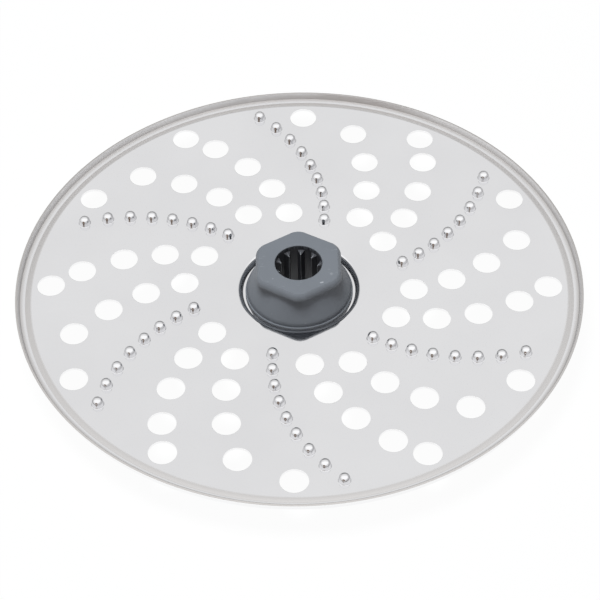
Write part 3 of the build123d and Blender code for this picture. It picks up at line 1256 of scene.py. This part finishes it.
class FOOD_DISC_OT_drive_hub(bpy.types.Operator):
    """Makes the moulded hub with its six-sided head and ribbed socket"""

    bl_idname = "food_disc.drive_hub"
    bl_label = "Drive hub"

    def execute(self, context):
        sizes = context.scene.food_disc_hub
        finish = moulded_hub_finish(context.scene.food_disc_finishes)
        values = {"Ribs": sizes.rib_count, "Finish": finish}
        wall = grown_mesh("socket_wall", rib_share(sizes), ribbed_wall_tree(), values)
        shell = hub_shell(sizes, context.scene.food_disc_sheet)
        whole = bmesh.new()
        whole.from_mesh(shell)
        whole.from_mesh(wall)
        mesh = bpy.data.meshes.new("drive_hub_skin")
        whole.to_mesh(mesh)
        whole.free()
        mesh.materials.append(finish)
        close_mesh(mesh, "moulded_hub", HUB_CREASE)
        show_piece("moulded_hub", mesh, "drive_hub")
        return {"FINISHED"}


# Studio

def pale_floor(settings):
    """A plain pale floor that shows white and still takes the object's shadow."""
    half = settings.floor_size / 2
    height = HUB_LOW.z - FLOOR_GAP
    mesh = bpy.data.meshes.new("floor")
    corners = [(-half, -half, height), (half, -half, height), (half, half, height), (-half, half, height)]
    mesh.from_pydata(corners, [], [(0, 1, 2, 3)])
    finish = bpy.data.materials.new("pale_floor")
    tree = empty_nodes(finish)
    matt = made(tree, "ShaderNodeBsdfDiffuse", {"Color": FLOOR_COLOUR})
    glow = made(tree, "ShaderNodeEmission", {"Color": WHITE, "Strength": 1.0})
    path = tree.nodes.new("ShaderNodeLightPath").outputs
    seen = calc(tree, "MAXIMUM", path["Is Camera Ray"], path["Is Glossy Ray"])
    shown = calc(tree, "MAXIMUM", seen, path["Is Transmission Ray"])
    amount = calc(tree, "MULTIPLY", shown, settings.floor_glow)
    mixed = made(tree, "ShaderNodeMixShader", {0: amount, 1: matt, 2: glow})
    add_node(tree, "ShaderNodeOutputMaterial", {"Surface": mixed})
    mesh.materials.append(finish)
    floor = add_object("floor", mesh)


def soft_share(tree, value, low, high):
    """None below one value, all above another, and an even passage between them."""
    return between(tree, value, (low, high), interpolation_type="SMOOTHSTEP")


def soft_room(settings):
    """A soft dome over grey walls, with a dim warm corner by the camera, and plain white where it is seen."""
    room = bpy.data.worlds.new("soft_room")
    tree = empty_nodes(room)
    heading = tree.nodes.new("ShaderNodeTexCoord").outputs["Generated"]
    parts = add_node(tree, "ShaderNodeSeparateXYZ", {0: heading}).outputs
    rightwards = between(tree, parts["X"], (-1.0, 1.0))
    walls = blend_colours(tree, rightwards, settings.left_wall_colour, settings.right_wall_colour)
    overhead = soft_share(tree, parts["Z"], math.sin(settings.dome_foot), math.sin(settings.dome_shoulder))
    open_room = blend_colours(tree, overhead, walls, settings.dome_colour)
    rise = settings.corner_rise
    turn = settings.corner_turn
    corner = (-math.sin(turn) * math.cos(rise), -math.cos(turn) * math.cos(rise), math.sin(rise))
    pair = {0: heading, 1: corner}
    towards = add_node(tree, "ShaderNodeVectorMath", pair, operation="DOT_PRODUCT").outputs["Value"]
    in_corner = soft_share(tree, towards, math.cos(settings.corner_outer), math.cos(settings.corner_inner))
    light = blend_colours(tree, in_corner, open_room, settings.warm_corner_colour)
    behind = soft_share(tree, parts["Y"], *DOME_DIMS)
    low_behind = soft_share(tree, parts["Y"], *LOW_WALL_DIMS)
    dimmed = calc(tree, "MULTIPLY_ADD", behind, -settings.far_dim, 1.0)
    share_left = calc(tree, "MULTIPLY_ADD", low_behind, -settings.far_wall_dim, dimmed)
    path = tree.nodes.new("ShaderNodeLightPath").outputs
    mirrored = calc(tree, "MAXIMUM", path["Is Glossy Ray"], path["Is Transmission Ray"])
    level = between(tree, mirrored, (0.0, 1.0), (settings.room_light, settings.room_strength))
    brightness = calc(tree, "MULTIPLY", share_left, level)
    glow = made(tree, "ShaderNodeBackground", {"Color": light, "Strength": brightness})
    backdrop = made(tree, "ShaderNodeBackground", {"Color": WHITE, "Strength": 1.0})
    inputs = {0: path["Is Camera Ray"], 1: glow, 2: backdrop}
    shown = made(tree, "ShaderNodeMixShader", inputs)
    add_node(tree, "ShaderNodeOutputWorld", {"Surface": shown})
    bpy.context.scene.world = room


def overhead_lamp(settings):
    """A soft square lamp over the object, a little to the left and towards the camera."""
    lamp = bpy.data.lights.new("overhead_lamp", "AREA")
    lamp.size = settings.lamp_size
    lamp.color = settings.lamp_colour
    place = Vector((-settings.lamp_aside, -settings.lamp_forward, settings.lamp_height))
    # The power that gives a face under the lamp as much light as an even sky of that strength
    lamp.energy = settings.lamp_light * math.pi**2 * place.length_squared
    stand = add_object("overhead_lamp", lamp)
    stand.location = place
    stand.rotation_euler = (-place).to_track_quat("-Z", "Y").to_euler()
    stand.visible_glossy = False


def place_camera(settings, aim_height):
    """The camera, looking down on the disc from the front."""
    rise = settings.camera_elevation
    forward = Vector((0.0, math.cos(rise), -math.sin(rise)))
    right = Vector((1.0, 0.0, 0.0))
    above = right.cross(forward)
    sight = forward + right * math.tan(settings.camera_yaw) + above * math.tan(settings.camera_pitch)
    sight.normalize()
    side = sight.cross(above).normalized()
    head = side.cross(sight)
    cosine = math.cos(settings.camera_roll)
    sine = math.sin(settings.camera_roll)
    across = side * cosine + head * sine
    upright = head * cosine - side * sine
    place = Vector((0.0, 0.0, aim_height)) - forward * settings.camera_distance
    lens = bpy.data.cameras.new("camera")
    lens.sensor_width = SENSOR_WIDTH
    lens.lens = settings.camera_lens
    lens.clip_start = NEAREST_SIGHT
    camera = add_object("camera", lens)
    turned = Matrix((across, upright, -sight)).transposed().to_4x4()
    camera.matrix_world = Matrix.Translation(place) @ turned
    bpy.context.scene.camera = camera


class FOOD_DISC_OT_studio(bpy.types.Operator):
    """Sets up the pale floor, the soft light and the camera"""

    bl_idname = "food_disc.studio"
    bl_label = "Studio"

    def execute(self, context):
        settings = context.scene.food_disc_studio
        context.scene.view_settings.view_transform = "Standard"
        pale_floor(settings)
        soft_room(settings)
        overhead_lamp(settings)
        top, _ = sheet_heights(context.scene.food_disc_sheet)
        place_camera(settings, top)
        return {"FINISHED"}


class VIEW3D_PT_food_disc(bpy.types.Panel):
    """Lists the disc's pieces with their sizes and finishes"""

    bl_idname = "VIEW3D_PT_food_disc"
    bl_label = "Food processor disc"
    bl_space_type = "VIEW_3D"
    bl_region_type = "UI"
    bl_category = "Food disc"

    def draw(self, context):
        scene = context.scene
        groups = [
            (FOOD_DISC_OT_pressed_sheet.bl_idname, scene.food_disc_sheet),
            (FOOD_DISC_OT_drive_hub.bl_idname, scene.food_disc_hub),
            (FOOD_DISC_OT_studio.bl_idname, scene.food_disc_studio),
        ]
        for operator, settings in groups:
            box = self.layout.box()
            box.operator(operator)
            for name in settings.__annotations__:
                box.prop(settings, name)
        box = self.layout.box()
        box.label(text="Finishes")
        for name in scene.food_disc_finishes.__annotations__:
            box.prop(scene.food_disc_finishes, name)


CLASSES = (
    PressedSheetSizes,
    DriveHubSizes,
    DiscFinishes,
    StudioSettings,
    FOOD_DISC_OT_pressed_sheet,
    FOOD_DISC_OT_drive_hub,
    FOOD_DISC_OT_studio,
    VIEW3D_PT_food_disc,
)


def register():
    """Adds the classes and the scene's settings."""
    for kind in CLASSES:
        bpy.utils.register_class(kind)
    bpy.types.Scene.food_disc_sheet = PointerProperty(type=PressedSheetSizes)
    bpy.types.Scene.food_disc_hub = PointerProperty(type=DriveHubSizes)
    bpy.types.Scene.food_disc_finishes = PointerProperty(type=DiscFinishes)
    bpy.types.Scene.food_disc_studio = PointerProperty(type=StudioSettings)


def unregister():
    """Takes the classes and the scene's settings away again."""
    del bpy.types.Scene.food_disc_studio
    del bpy.types.Scene.food_disc_finishes
    del bpy.types.Scene.food_disc_hub
    del bpy.types.Scene.food_disc_sheet
    for kind in reversed(CLASSES):
        bpy.utils.unregister_class(kind)


def write_sizes():
    bpy.context.view_layer.update()


def main():
    """Builds the disc and its studio, piece by piece."""
    register()
    bpy.ops.food_disc.pressed_sheet()
    bpy.ops.food_disc.drive_hub()
    bpy.ops.food_disc.studio()
    write_sizes()


if __name__ == "__main__":
    main()
